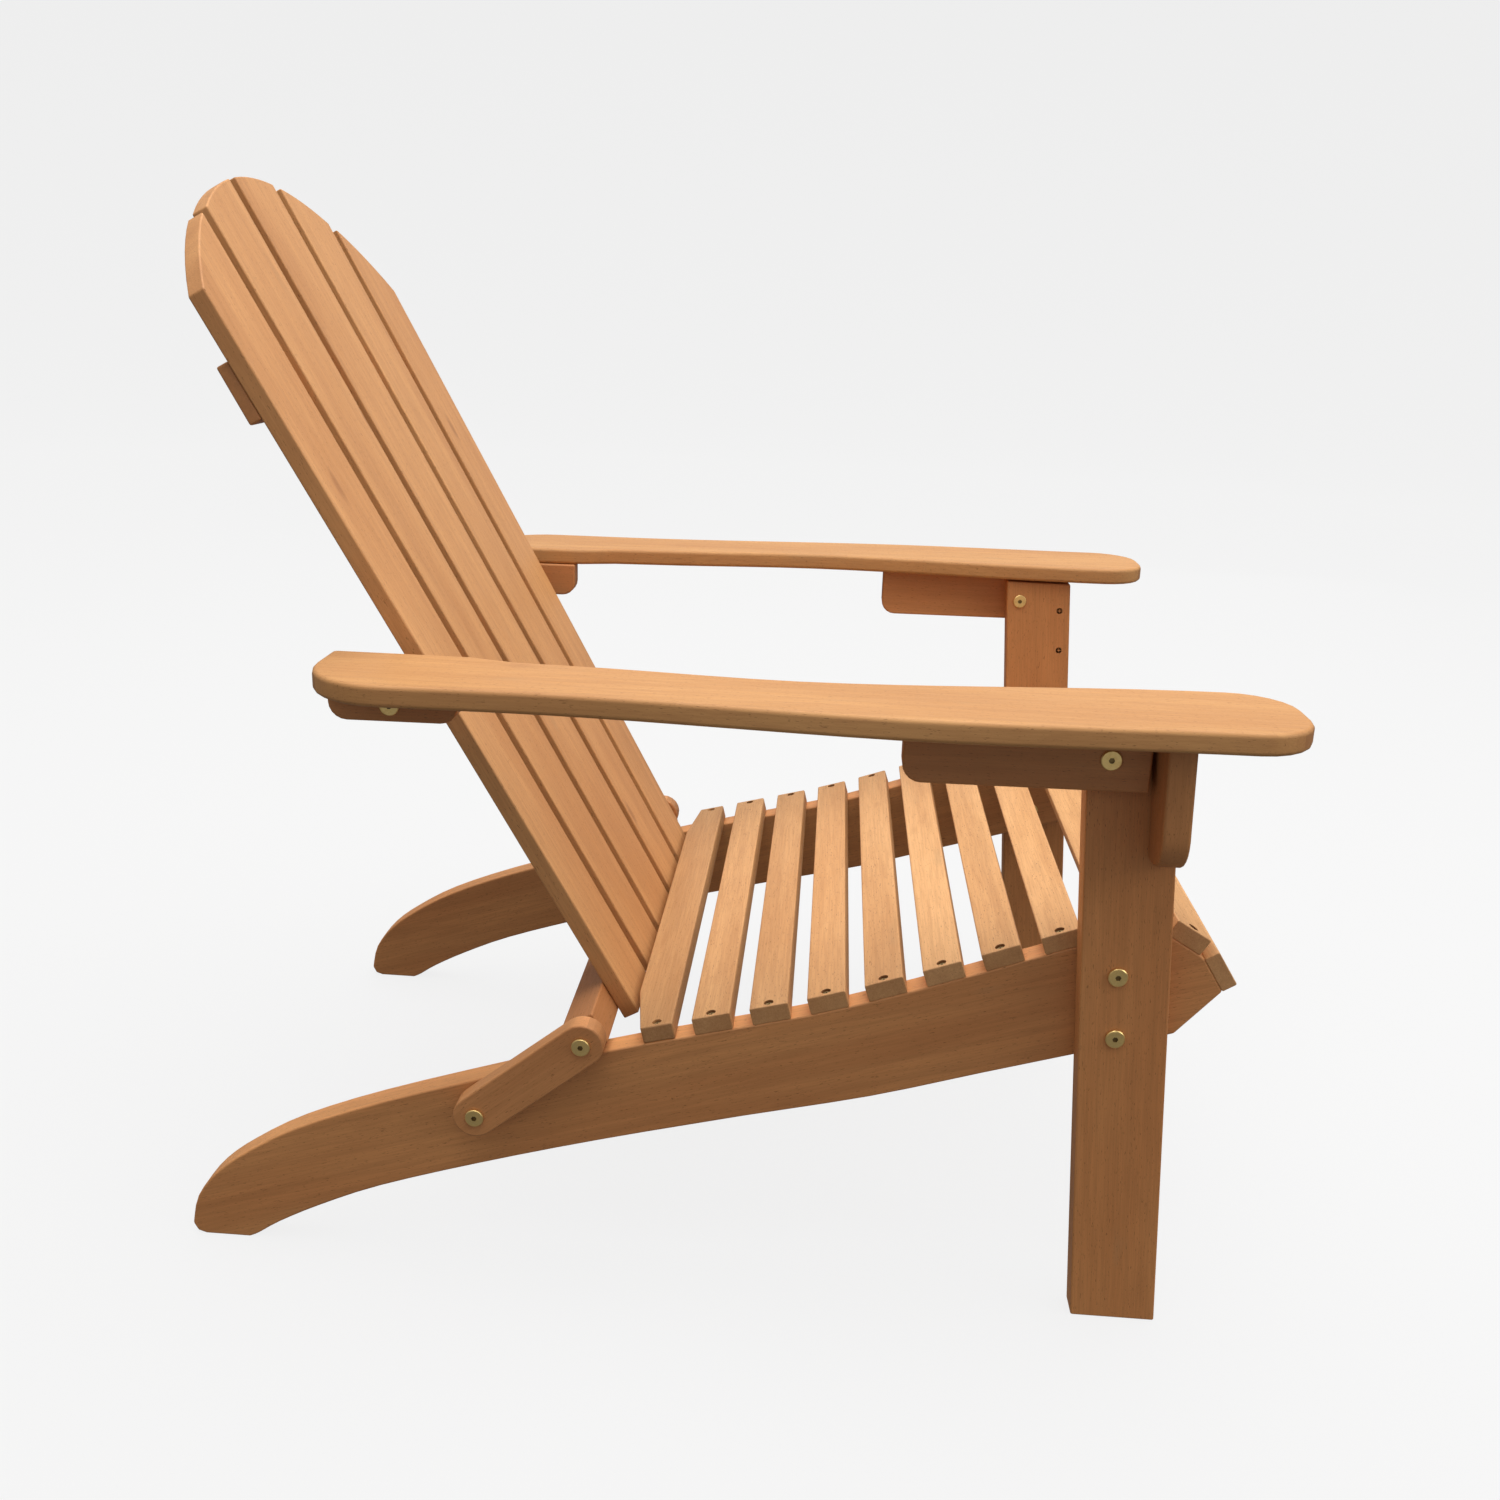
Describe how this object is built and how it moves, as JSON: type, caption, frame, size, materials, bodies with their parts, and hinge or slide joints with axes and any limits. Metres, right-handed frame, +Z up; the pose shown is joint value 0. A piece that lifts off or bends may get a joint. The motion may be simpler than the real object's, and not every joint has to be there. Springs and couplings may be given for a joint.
{
  "type": "adirondack chair",
  "caption": "Folding adirondack chair in oiled hardwood, with slatted contoured seat, fanned arched back, broad armrests and brass bolts",
  "frame": {"origin": "on the ground, at the middle of the chair's bounding box", "axes": "+Z up, the sitter faces -Y, +X is the sitter's left"},
  "size_m": [0.7378, 0.8582, 0.8614],
  "materials": {
    "rail_wood": "oiled hardwood, satin",
    "slat_wood": "oiled hardwood, satin",
    "leg_wood": "oiled hardwood, satin",
    "arm_wood": "oiled hardwood, satin",
    "back_wood": "oiled hardwood, satin",
    "small_wood": "oiled hardwood, satin",
    "brass": "yellow passivated, dull"
  },
  "bodies": {
    "frame": {"seat_slat_01": "slat_wood", "seat_slat_02": "slat_wood", "seat_slat_03": "slat_wood", "seat_slat_04": "slat_wood", "seat_slat_05": "slat_wood", "seat_slat_06": "slat_wood", "seat_slat_07": "slat_wood", "seat_slat_08": "slat_wood", "seat_slat_09": "slat_wood", "seat_slat_10": "slat_wood", "front_apron_slat": "slat_wood", "right_seat_rail": "rail_wood", "right_front_leg": "leg_wood", "right_corbel": "small_wood", "right_leg_bolt_upper": "brass", "right_leg_bolt_lower": "brass", "right_leg_nut_upper": "brass", "right_leg_nut_lower": "brass", "right_arm_nut": "brass", "right_front_arm_bolt": "brass", "right_link_bolt_lower": "brass", "right_link_nut": "brass", "left_seat_rail": "rail_wood", "left_front_leg": "leg_wood", "left_corbel": "small_wood", "left_leg_bolt_upper": "brass", "left_leg_bolt_lower": "brass", "left_leg_nut_upper": "brass", "left_leg_nut_lower": "brass", "left_arm_nut": "brass", "left_front_arm_bolt": "brass", "left_link_bolt_lower": "brass", "left_link_nut": "brass"},
    "right_arm": {"right_armrest": "arm_wood", "right_front_bracket": "small_wood", "right_rear_bracket": "small_wood", "right_rear_arm_bolt": "brass"},
    "left_arm": {"left_armrest": "arm_wood", "left_front_bracket": "small_wood", "left_rear_bracket": "small_wood", "left_rear_arm_bolt": "brass"},
    "right_link": {"right_fold_link": "small_wood"},
    "left_link": {"left_fold_link": "small_wood"},
    "back": {"back_slat_right_outer": "back_wood", "back_slat_right_inner": "back_wood", "back_slat_centre": "back_wood", "back_slat_left_inner": "back_wood", "back_slat_left_outer": "back_wood", "lower_cross_bar": "small_wood", "arm_cross_bar": "small_wood", "upper_batten": "small_wood", "right_link_bolt_upper": "brass", "right_lower_cross_bar_insert": "brass", "right_arm_cross_bar_insert": "brass", "left_link_bolt_upper": "brass", "left_lower_cross_bar_insert": "brass", "left_arm_cross_bar_insert": "brass"}
  },
  "joints": [
    {"name": "right_link_fold", "type": "hinge", "parent": "frame", "child": "right_link", "pos_m": [-0.2738, 0.16748, 0.1422], "axis": [-1, 0, 0], "range_deg": [0, 137]},
    {"name": "left_link_fold", "type": "hinge", "parent": "frame", "child": "left_link", "pos_m": [0.2738, 0.16748, 0.1422], "axis": [-1, 0, 0], "range_deg": [0, 137.5]},
    {"name": "back_foot_pivot", "type": "hinge", "parent": "right_link", "child": "back", "pos_m": [-0.2738, 0.08188, 0.21172], "axis": [1, 0, 0], "range_deg": [0, 175.7]},
    {"name": "right_arm_pivot", "type": "hinge", "parent": "frame", "child": "right_arm", "pos_m": [-0.2979, -0.29882, 0.4797], "axis": [-1, 0, 0], "range_deg": [0, 3]},
    {"name": "left_arm_pivot", "type": "hinge", "parent": "frame", "child": "left_arm", "pos_m": [0.2979, -0.29882, 0.4797], "axis": [-1, 0, 0], "range_deg": [0, 3]}
  ],
  "couplings": [
    {"joint": "left_link_fold", "follows": "right_link_fold", "ratio": 1},
    {"joint": "back_foot_pivot", "follows": "right_link_fold", "ratio": 1.2788},
    {"joint": "right_arm_pivot", "follows": "right_link_fold", "ratio": 0.02044},
    {"joint": "left_arm_pivot", "follows": "right_link_fold", "ratio": 0.02044}
  ]
}
